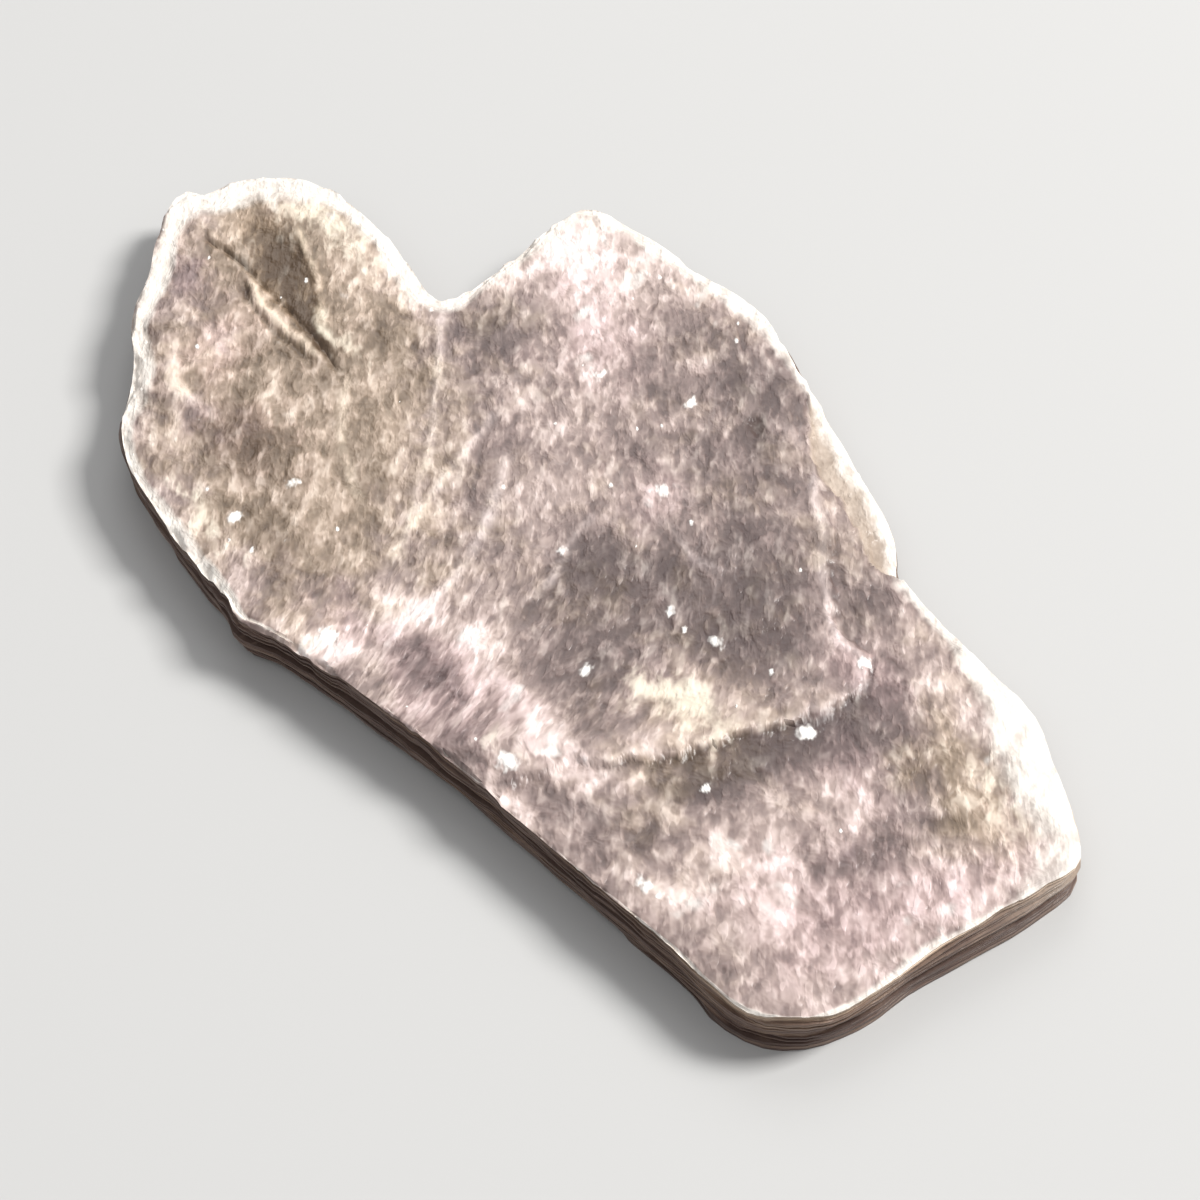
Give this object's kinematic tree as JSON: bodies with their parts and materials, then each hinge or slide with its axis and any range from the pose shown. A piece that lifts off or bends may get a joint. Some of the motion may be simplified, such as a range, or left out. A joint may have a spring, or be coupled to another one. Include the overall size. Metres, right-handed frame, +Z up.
{
  "type": "mica crystal",
  "caption": "Flat cleavage plate of lilac-grey mica with a notched, lobed end, a square end, layered edges and a flat underside to lie on.",
  "frame": {"origin": "middle of the plate's box, on the surface it rests on", "axes": "+X along the plate towards its square end, +Y across it towards the back edge with the second lobe, +Z up out of the cleavage face"},
  "size_m": [0.095, 0.0508, 0.0042],
  "materials": {
    "mica": "pearly"
  },
  "bodies": {
    "root": {"mica_crystal": "mica"}
  },
  "joints": []
}
